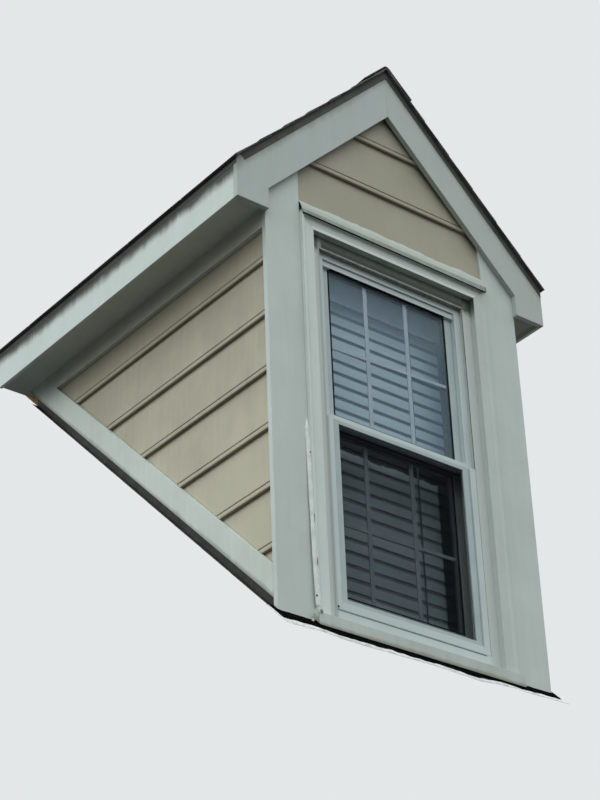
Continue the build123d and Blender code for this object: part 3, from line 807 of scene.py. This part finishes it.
# Window frame: hollow white vinyl, welded at the corners, its flange nailed to the sheathing.
# Its face lies deep in the flange, and a raised channel on the lower half holds the screen.
frame_low, frame_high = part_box("window_frame")
flange_top = frame_high.z
frame_top = flange_top - 45 * mm
frame_foot = frame_low.z + 45 * mm
frame_x = frame_high.x - 38 * mm
clear_x = frame_x - 25 * mm
clear_low = frame_foot + 27 * mm
clear_high = frame_top - 16 * mm
flange_y = frame_low.y + 4 * mm
face_y = frame_low.y + 20 * mm

# Extruded vinyl is smooth and half gloss. Above it and beside it the flange is green with mildew
# and darkened with painted shade under the head, and the flange at the frame's left edge is greyed with
# painted shade.
vinyl, tree, shader = new_finish("white_extruded_vinyl", 0.36, 0.4)
place = add(tree, "TexCoord", {}).outputs["Object"]
axes = add(tree, "SeparateXYZ", {0: place})
height = axes.outputs["Z"]
film = add(tree, "TexNoise", {0: place, "Scale": 6.0, "Detail": 4.0, "Roughness": 0.55})
clean = add(tree, "ValToRGB", {0: film}, stops=[(0.3, "#B8C1C2"), (0.65, "#C1CACB")])
spots = add(tree, "TexNoise", {0: place, "Scale": 55.0, "Detail": 4.0})
# Under the head the flange is mildew and painted shade: grey just above the frame, darkening green higher up,
# and beside the frame it darkens towards the head.
ceiling_dirt_and_shade = add(tree, "ValToRGB", {0: spots}, stops=[(0.35, "#84877F"), (0.7, "#A0A399")])
head_mildew_and_shade = veil(tree, "#272C24", "#8A9485", height, frame_top + 8 * mm, flange_top, fade="SMOOTHSTEP")
head_mildew_and_shade = veil(tree, head_mildew_and_shade, "#2A2E28", spots, 0.35, 0.7, 0.35, 0.0)
head_ceiling_mildew_and_shade = veil(tree, ceiling_dirt_and_shade, head_mildew_and_shade, height, frame_top + 4 * mm, frame_top + 7 * mm)
shade = veil(tree, clean, head_ceiling_mildew_and_shade, height, frame_top - 0.6 * mm, frame_top - 0.1 * mm)
rising = add(tree, "Math", {0: spots, 1: 40 * mm, 2: height}, operation="MULTIPLY_ADD")
flange_mildew_and_shade = veil(tree, "#BBC0BE", "#4C5448", rising, flange_top - 52 * mm, flange_top - 22 * mm)
out = add(tree, "Math", {0: axes.outputs["X"]}, operation="ABSOLUTE")
shade = veil(tree, shade, flange_mildew_and_shade, out, frame_x + 0.5 * mm, frame_x + 1 * mm)
# Painted shade: the flange greys in the corner at the frame's left side.
left_corner_shade = add(tree, "Math", {0: axes.outputs["X"], 1: frame_x}, operation="ADD")
left_corner_shade = add(tree, "Math", {0: left_corner_shade}, operation="ABSOLUTE")
shade = veil(tree, shade, "#98A09D", left_corner_shade, 4 * mm, 12 * mm, 0.75, 0.0, "SMOOTHSTEP")
skin = add(tree, "TexNoise", {0: place, "Scale": 600.0, "Detail": 2.0})
bump = add(tree, "Bump", {"Strength": 0.08, "Distance": 0.3 * mm, "Height": skin})
wire(shader, {"Base Color": shade, "Normal": bump})

jambs = cad_copy("window_frame", "jambs")
shift(jambs, lambda co: co.y < flange_y - 1 * mm, (0, face_y - frame_low.y, 0))
wall_t = 3 * mm
tube_y = flange_y + 2.5 * mm
tube_x = frame_x + 5 * mm
sides = ((0, -frame_x, -wall_t), (0, frame_x, wall_t), (2, frame_foot, -wall_t), (2, frame_top, wall_t))
for axis, place, outward in sides:
    by = (outward, 0, 0) if axis == 0 else (0, 0, outward)
    shift(jambs, lambda co: co.y > tube_y and abs(co[axis] - place) < mm and abs(co.x) < tube_x, by)
screen_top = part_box("insect_screen")[1].z
channel_x = frame_x - 0.3 * mm
channel_y = flange_y + 0.4 * mm
channel_foot = frame_foot + 0.5 * mm
inner_x = clear_x + 1 * mm
stop_h = 5.5 * mm
stop_y = face_y + 5.5 * mm
cover_y = face_y + 16 * mm
stop_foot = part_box("upper_glass")[1].z
meet_low, meet_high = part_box("upper_sash")[0].z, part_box("lower_sash")[1].z + 1 * mm
sill_top = clear_low - 1 * mm
uprights = ((-channel_x, -inner_x, screen_top), (inner_x, channel_x, screen_top))
members = [ease(jambs, 1.0 * mm)]
for left, right, head in uprights + ((-inner_x, inner_x, sill_top),):
    channel = block("channel", (left, channel_y, channel_foot), (right, face_y, head))
    members.append(ease(channel, 0.8 * mm))
members += [
    block("head_stop", (-clear_x, face_y, clear_high - stop_h), (clear_x, stop_y, clear_high)),
    block("head_stop", (-clear_x, stop_y, stop_foot), (clear_x, cover_y, clear_high)),
    block("meeting_cover", (-clear_x, face_y, meet_low), (clear_x, cover_y, meet_high)),
]
window_jambs = fit(joined("window_jambs", members), vinyl, "white_vinyl", "window_frame")
# The reveal walls are drawn darker towards the flange; the jambs are drawn darker towards their front edge as
# painted shade.
reveal_darker_at_back = ((0, -1, 0), -flange_y - 7 * mm, -flange_y - 2 * mm, "#5F6663")
jamb_front_shade = ((0, -1, 0), -face_y - 7 * mm, -face_y - 2 * mm, "#737B7A")
reveal_finish = painted("vinyl_reveal_darker_at_back", "#B9C0BE", "#AEB5B2", upright_grain, reveal_darker_at_back)
jamb_finish = painted("shaded_vinyl_jamb", "#AEB7B8", "#A5AEAF", upright_grain, jamb_front_shade)
for finish, place, reach in ((reveal_finish, frame_x, 2 * mm), (jamb_finish, clear_x, 0.5 * mm)):

    def facing_glass(face):
        """Whether an upright face in front of the wall looks inwards or outwards at this width."""
        return abs(face.normal.x) > 0.9 and face.center.y < 0 and abs(abs(face.center.x) - place) < reach

    coat_faces(window_jambs, finish, facing_glass)

line_finish = mottled("grey_dirt_in_joint", 0.9, 0.2, (60.0, 3.0, 0.5), [(0.3, "#6C7472"), (0.7, "#868E8C")])
line_low = (-frame_x + 6 * mm, flange_y - 0.4 * mm, frame_foot - 5 * mm)
line_high = (frame_x - 19 * mm, flange_y + 0.5 * mm, frame_foot - 1 * mm)
fit(block("foot_joint", line_low, line_high), line_finish, "white_vinyl")
weep_spot = (-295.2 * mm, channel_y - 0.1 * mm, 47.5 * mm)
weep_r = 3.6 * mm
bpy.ops.object.select_all(action="DESELECT")
bpy.ops.mesh.primitive_cylinder_add(
    vertices=24, radius=weep_r, depth=0.8 * mm, location=weep_spot, rotation=(math.pi / 2, 0, 0)
)
bpy.ops.object.transform_apply(location=True, rotation=True, scale=True)
weep = bpy.context.object
weep.name = "weep_hole"
fit(weep, dark_joint_and_shade_finish, "white_vinyl")

# Sashes: welded vinyl like the frame, greyer with dust, with a black gasket round the glass. A
# dark wool pile closes the gap where the two sashes meet; drawn over the lower sash's top rail, it is painted
# shade there too.
dust_film = [(0.3, "#A2ADB1"), (0.65, "#ADB8BC")]
sash_vinyl = mottled("dusty_white_vinyl", 0.42, 0.35, (9.0, 5.0, 0.6), dust_film, (600.0, 2.0, 0.08, 0.3))
meeting_shade = ((0, 0, 1), 0.55, 0.66, "#4A4B4E")
shaded_vinyl = painted("shaded_vinyl_behind_screen", "#8C9192", "#7E8385", upright_grain, meeting_shade)
gasket_w = 6 * mm
sash_front = -1 * mm
sash_back = 11.5 * mm
glass_y = {"upper": (1 * mm, sash_back), "lower": (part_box("lower_glass")[0].y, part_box("lower_glass")[1].y)}
for name, sash_finish in (("upper", sash_vinyl), ("lower", shaded_vinyl)):
    rails = cad_copy(name + "_sash", name + "_sash_rails")
    if name == "upper":
        sash_low, sash_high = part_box("upper_sash")
        shift(rails, lambda co: co.y < sash_low.y + 1 * mm, (0, sash_front - sash_low.y, 0))
        shift(rails, lambda co: co.y > sash_high.y - 1 * mm, (0, sash_back - sash_high.y, 0))
    fit(ease(rails, 1.5 * mm), sash_finish, "white_vinyl", name + "_sash")
    low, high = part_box(name + "_glass")
    back = glass_y[name][0]
    front = back - 1.5 * mm
    top_front = stop_y if name == "upper" else front
    left, right = low.x + gasket_w, high.x - gasket_w
    gasket = [
        block("gasket", (low.x, front, low.z), (left, back, high.z)),
        block("gasket", (right, front, low.z), (high.x, back, high.z)),
        block("gasket", (left, top_front, high.z - 1.5 * mm), (right, back, high.z)),
    ]
    if name == "lower":
        gasket.append(block("gasket", (left, front, low.z), (right, back, low.z + gasket_w)))
    fit(joined(name + "_gasket", gasket), dark_joint_and_shade_finish, "white_vinyl")
low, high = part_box("lower_sash")
pile_low = (low.x + 2 * mm, low.y - 1.5 * mm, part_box("lower_glass")[1].z + 3 * mm)
meeting_pile_and_shade = block("meeting_pile_and_painted_shade", pile_low, (high.x - 2 * mm, low.y, high.z - 1 * mm))
fit(meeting_pile_and_shade, dark_joint_and_shade_finish, "white_vinyl")


# Glass: two 3 mm panes round a dark spacer in each sash, with flat white bars between them
# that divide each light three wide and two high.
def ring(name, low, high, side, end):
    """Four bars round an opening: two uprights of full height, and two rails between them."""
    left, right = low[0] + side, high[0] - side
    bars = [
        block("bar", low, (left, high[1], high[2])),
        block("bar", (right, low[1], low[2]), high),
        block("bar", (left, low[1], low[2]), (right, high[1], low[2] + end)),
        block("bar", (left, low[1], high[2] - end), (right, high[1], high[2])),
    ]
    return joined(name, bars)


pane_t = 3 * mm
spacer_w = 8 * mm
bar_w = 16 * mm
cross_w = 12 * mm
bar_t = 3.6 * mm
bar_places = {"upper": (-90.7 * mm, 81 * mm), "lower": (-108.8 * mm, 78.7 * mm)}
cross_places = {"upper": (990 * mm, 0.040), "lower": (371 * mm, 0.0175)}

# Float glass is clear and polished. A faint blue veil on it is a painted reflection of the sky,
# brighter high up, and it lets nearly all the light through.
panes = {}
sky_reflection_veils = (("upper", "#A5CAE6", "#CFEBFF", 0.057), ("lower", "#39444C", "#39444C", 0.02))
for name, low_tint, high_tint, film in sky_reflection_veils:
    panes[name], tree, shader = new_finish("float_glass_" + name, 0.05, 0.5, {"IOR": 1.5, "Alpha": film})
    place = add(tree, "TexCoord", {}).outputs["Object"]
    axes = add(tree, "SeparateXYZ", {0: place})
    haze = add(tree, "TexNoise", {0: place, "Scale": 7.0, "Detail": 3.0})
    rise = add(tree, "Math", {0: haze, 1: 0.08, 2: axes.outputs["Z"]}, operation="MULTIPLY_ADD")
    wire(shader, {"Base Color": veil(tree, low_tint, high_tint, rise, 1.05, 1.24, fade="SMOOTHSTEP")})
# The white bars are drawn grey-blue, darker in the lower sash behind the screen: painted shade between the
# panes, mottled with dust.
shaded_bar_coats = {}
for name, dusty_shaded, clean in (("upper", "#939DA8", "#A1ABB6"), ("lower", "#7F8A95", "#8F9AA4")):
    shaded_bar_coats[name] = mottled("shaded_white_bar_" + name, 0.5, 0.3, (9.0, 5.0, 0.5), [(0.3, dusty_shaded), (0.7, clean)])
foam = [(0.3, "#4A545B"), (0.7, "#5D686F")]
spacer_finish = mottled("grey_warm_edge_spacer", 0.6, 0.5, (300.0, 2.0, 0.5), foam)
for name in ("upper", "lower"):
    low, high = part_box(name + "_glass")
    low.y, high.y = glass_y[name]
    front, back = low.y + pane_t, high.y - pane_t
    outer_pane = block(name + "_outer_pane", low, (high.x, front, high.z))
    inner_pane = block(name + "_inner_pane", (low.x, back, low.z), high)
    fit(outer_pane, panes[name], "window_glass", name + "_glass")
    fit(inner_pane, panes[name], "window_glass")
    spacer = ring(name + "_spacer", (low.x, front, low.z), (high.x, back, high.z), spacer_w, spacer_w)
    fit(spacer, spacer_finish, "window_glass")
    bar_y = (low.y + high.y - bar_t) / 2
    foot, head = low.z + spacer_w, high.z - spacer_w
    bars = []
    for x in bar_places[name]:
        bars.append(block("bar", (x - bar_w / 2, bar_y, foot), (x + bar_w / 2, bar_y + bar_t, head)))
    z, rise = cross_places[name]
    cross_low = (low.x + spacer_w, bar_y - 0.3 * mm, z - cross_w / 2)
    cross = block("bar", cross_low, (high.x - spacer_w, bar_y + bar_t + 0.3 * mm, z + cross_w / 2))
    for point in cross.data.vertices:
        point.co.z += rise * point.co.x
    fit(ease(joined(name + "_bars", bars + [cross]), 1.0 * mm), shaded_bar_coats[name], "white_vinyl")

# Insect screen: woven glass-fibre cloth, coated charcoal, rolled into a thin white frame.
# The threads stand 1.5 mm apart, and are drawn so thick that the cloth darkens as it does.
low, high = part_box("insect_screen")
screen_side = 25 * mm
screen_end = 14 * mm
cloth_inset = 3 * mm
screen_frame = ease(ring("screen_frame", low, high, screen_side, screen_end), 0.8 * mm)
fit(screen_frame, sash_vinyl, "screen_cloth", "insect_screen")
cloth_y = (low.y + high.y) / 2
cloth_z = (low.z + high.z) / 2
cloth_w = high.x - low.x - 2 * (screen_side - cloth_inset)
cloth_h = high.z - low.z - 2 * (screen_end - cloth_inset)


def cloth_place(s, t):
    """The cloth is stretched flat and is only a little uneven."""
    y = cloth_y + 0.8 * mm * wave(11, s * 3 + t * 2)
    return Vector((cloth_w * (s - 0.5), y, cloth_z + cloth_h * (t - 0.5)))


cloth = strip("screen_mesh", 24, 24, cloth_place)
thread_gap = 1.5 * mm
thread_open = 0.6
charcoal = {"Base Color": "#17191B"}
cloth_finish, tree, shader = new_finish("charcoal_screen_cloth", 0.8, 0.0, charcoal)
place = add(tree, "TexCoord", {}).outputs["Object"]
axes = add(tree, "SeparateXYZ", {0: place})
threads = []
for axis in ("X", "Z"):
    turns = add(tree, "Math", {0: axes.outputs[axis], 1: 1 / thread_gap}, operation="MULTIPLY")
    cell = add(tree, "Math", {0: turns}, operation="FRACT")
    threads.append(add(tree, "Math", {0: cell, 1: math.sqrt(thread_open)}, operation="GREATER_THAN"))
wire(shader, {"Alpha": add(tree, "Math", {0: threads[0], 1: threads[1]}, operation="MAXIMUM")})
fit(cloth, cloth_finish, "screen_cloth")

# Light crosses the cloth and the panes both ways to reach the blind, so many layers are let through.
scene.cycles.transparent_max_bounces = 24

# Blind: white slats 50 mm wide, slightly crowned, tilted nearly shut on two cloth tapes
# between a head rail and a bottom rail. Each has a line of painted shade where the next one laps it.
slat_w = 50 * mm
slat_t = 3 * mm
slat_pitch = 45.6 * mm
slat_tilt = math.radians(84.5)
slat_crown = 1.5 * mm

# Enamelled slats are half gloss. Each has a painted light level set by its height and varied a little, a
# painted shade line on its lapped edge from 0.64 to 0.75 of its width, and painted shade beside the reveal (x
# 0.25 m) and behind the meeting rails (z 0.69 to 0.80 m).
blind, tree, shader = new_finish("white_blind_slat", 0.5, 0.3)
place = add(tree, "TexCoord", {}).outputs["Object"]
own = add(tree, "Attribute", {}, attribute_name="tone").outputs["Fac"]
across = add(tree, "Attribute", {}, attribute_name="across").outputs["Fac"]
axes = add(tree, "SeparateXYZ", {0: place})
height = axes.outputs["Z"]
slat_light_tones = [(0.0, "#14181B"), (0.16, "#4A5A68"), (0.75, "#B2C2CC"), (1.0, "#C9D8E2")]
lit_slats = add(tree, "ValToRGB", {0: own}, stops=slat_light_tones)
shade_wobble = add(tree, "TexNoise", {0: place, "Scale": 25.0, "Detail": 4.0})
edge_in = add(tree, "Math", {0: shade_wobble, 1: 0.06, 2: across}, operation="MULTIPLY_ADD")
lapped_shade = add(tree, "MapRange", {0: edge_in, 1: 0.64, 2: 0.75}, interpolation_type="SMOOTHSTEP")
faint = add(tree, "MapRange", {0: height, 1: 0.70, 2: 0.80, 3: 0.5, 4: 0.95})
lapped_shade = add(tree, "Math", {0: lapped_shade, 1: faint}, operation="MULTIPLY")
side_range = {0: axes.outputs["X"], 1: 0.252, 2: 0.260, 4: 0.92}
beside = add(tree, "MapRange", side_range, interpolation_type="SMOOTHSTEP")
below = add(tree, "MapRange", {0: height, 1: 0.72, 2: 0.70})
reveal_shade = add(tree, "Math", {0: beside, 1: below}, operation="MULTIPLY")
ragged = add(tree, "Math", {0: shade_wobble, 1: 0.03, 2: height}, operation="MULTIPLY_ADD")
over = add(tree, "MapRange", {0: ragged, 1: 0.690, 2: 0.697})
under = add(tree, "MapRange", {0: height, 1: 0.80, 2: 0.795})
rail_shade = add(tree, "Math", {0: over, 1: under}, operation="MULTIPLY")
shaded = add(tree, "Math", {0: reveal_shade, 1: rail_shade}, operation="MAXIMUM")
shade = add(tree, "Mix", {0: shaded, 6: lit_slats, 7: "#1B2124"}, data_type="RGBA")
shade = add(tree, "Mix", {0: lapped_shade, 6: shade, 7: "#161B1F"}, data_type="RGBA")
wire(shader, {"Base Color": shade})

low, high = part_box("blind_slats")
rail_low, rail_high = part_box("blind_rails")
blind_y = (rail_low.y + rail_high.y) / 2


def slat_place(s, t):
    """The slat lies flat along x, crowned across y."""
    return Vector(((high.x - low.x) * (s - 0.5), slat_w * (t - 0.5), slat_crown * (1 - (2 * t - 1) ** 2)))


slat = strip("slat", 4, 12, slat_place, slat_t)
width_way = slat.data.attributes.new("across", "FLOAT", "POINT")
width_way.data.foreach_set("value", [point.co.y / slat_w + 0.5 for point in slat.data.vertices])
slat_half = slat_w / 2 * math.sin(slat_tilt) + slat_t
# Levels of painted light and shade on the slats, by height, as (z in m, level).
slat_light_levels = [
    (0.0, 0.56), (0.69, 0.58), (0.8, 0.74), (0.98, 0.74), (1.03, 0.66),
    (1.12, 0.95), (1.19, 0.93), (1.22, 0.6), (2.0, 0.5),
]
slats = []
z = low.z + slat_half - 1.4 * mm
while z + slat_half < high.z:
    for (z0, level0), (z1, level1) in zip(slat_light_levels, slat_light_levels[1:]):
        if z < z1:
            break
    level = level0 + (level1 - level0) * (z - z0) / (z1 - z0)
    turned = Matrix.Rotation(slat_tilt + dice.uniform(-0.015, 0.015), 4, "X")
    turned = Matrix.Translation((0, blind_y, z)) @ turned
    slats.append(placed_copy(slat, turned, level * dice.uniform(0.9, 1.0)))
    z += slat_pitch
discard(slat)
fit(joined("slats", slats), blind, "blind", "blind_slats")
tape_in = 129 * mm
tape_w = 6 * mm
tape_t = 0.8 * mm
tapes = []
for x in (low.x + tape_in, high.x - tape_in):
    for y in (blind_y - 8 * mm, blind_y + 8 * mm):
        tapes.append(block("tape", (x - tape_w / 2, y, low.z), (x + tape_w / 2, y + tape_t, high.z)))
rail_finish = mottled("white_blind_rail", 0.5, 0.3, (14.0, 4.0, 0.5), [(0.3, "#98A8BC"), (0.7, "#B2C2D4")])
dress("blind_rails", "head_and_foot_rails", 2.0 * mm, rail_finish, "blind")
valance_high = (rail_high.x, rail_low.y - 0.5 * mm, 1294 * mm)
valance = block("valance", (rail_low.x, rail_low.y - 4 * mm, 1222 * mm), valance_high)
fit(ease(valance, 1.0 * mm), rail_finish, "blind")
tape_finish = mottled("grey_ladder_tape", 0.8, 0.2, (400.0, 2.0, 0.5), [(0.3, "#4E5963"), (0.7, "#626E79")])
fit(joined("ladder_tapes", tapes), tape_finish, "blind")

# Step flashing: brown sheet steps, each lapping the one below, under the skirt boards. They cover
# the foot of the sheathing and turn out onto the roof under the shingles.
skirt_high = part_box("left_skirt_board")[1]
step_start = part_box("front_wall")[0].y + 4 * mm
step_len = 200 * mm
step_every = 143 * mm
step_rise = 46 * mm
step_foot = 22 * mm
step_t = 0.7 * mm
steps = []
for side, wall_x in ((-1, skirt_high.x), (1, -skirt_high.x)):
    y = step_start
    while y + step_len < skirt_high.y:

        def step_place(s, t):
            """The foot lies on the roof for t under a half, and the rest stands up the wall."""
            out = 1.2 * mm + (step_foot * (1 - 2 * t) if t < 0.5 else 0)
            up = 1.2 * mm + 1.0 * mm * (1 - s) + (step_rise * (2 * t - 1) if t > 0.5 else 0)
            return Vector((wall_x + side * out, y + step_len * s, y + step_len * s + up))

        steps.append(strip("step", 1, 2, step_place, step_t, 20.0))
        y += step_every
fit(joined("step_flashing", steps), brown_sheet, "brown_drip_edge")

# Apron flashing: a strip of white sheet under the sill, dressed down onto the shingles. Its edge
# is wavy and bent, and black roofing cement was spread over its upper part, drawn near black as painted shade
# under the sill too.
low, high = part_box("apron_flashing")
apron_lift = high.z - high.y
apron_bends = [
    (-0.56, -0.119), (-0.53, -0.122), (-0.43, -0.111), (-0.356, -0.1235), (-0.27, -0.121),
    (-0.01, -0.112), (0.114, -0.118), (0.17, -0.123), (0.245, -0.106), (0.34, -0.094),
    (0.37, -0.102), (0.49, -0.094), (0.56, -0.092),
]


def apron_edge(x):
    """How far down the slope the sheet runs at x: bent here and there, and wavy in between."""
    for (x0, y0), (x1, y1) in zip(apron_bends, apron_bends[1:]):
        if x <= x1:
            break
    part = min(1.0, max(0.0, (x - x0) / (x1 - x0)))
    return max(low.y + 0.5 * mm, y0 + (y1 - y0) * part + 2.5 * mm * wave(22, x * 28))


def apron_place(s, t):
    """The sheet lies on the slope and lifts a little at its free edge."""
    x = low.x + (high.x - low.x) * s
    y = high.y + (apron_edge(x) - high.y) * t
    lift = 2 * mm * max(0.0, t - 0.55) * (1 + wave(23, x * 16))
    return Vector((x, y, y + apron_lift + lift - 0.6 * mm))


def cement_place(s, t):
    """The cement runs unevenly down from under the sill."""
    x = low.x + 8 * mm + (high.x - low.x - 20 * mm) * s
    reach = apron_edge(x) + 23 * mm - 10 * mm * s + 7 * mm * wave(24, x * 11) + 5 * mm * wave(25, x * 45)
    y = high.y + (reach - high.y) * t
    crust = 2.2 * mm + 1.2 * mm * wave(26, x * 60 + t * 4) + 1.0 * mm * wave(27, t * 9 + x * 15)
    return Vector((x, y, y + apron_lift + crust * min(1.0, 6 * (1 - t) + 0.25)))


# The coated sheet is newer and whiter than the rest, and the cement is tar, matt with dust, drawn darker still
# as painted shade under the sill.
new_film = [(0.32, "#9C9D9C"), (0.6, "#DCDDDD")]
apron_finish = mottled("white_apron_sheet", 0.5, 0.35, (45.0, 6.0, 0.7), new_film)
tar_and_shade = [(0.3, "#030303"), (0.75, "#141514")]
cement_and_shade_finish = mottled("black_roofing_cement_and_painted_shade", 0.9, 0.0, (70.0, 4.0, 0.5), tar_and_shade)
fit(strip("apron", 200, 8, apron_place, 0.9 * mm), apron_finish, "white_flashing", "apron_flashing")
fit(strip("roofing_cement", 220, 10, cement_place, 1.2 * mm), cement_and_shade_finish, "white_flashing")
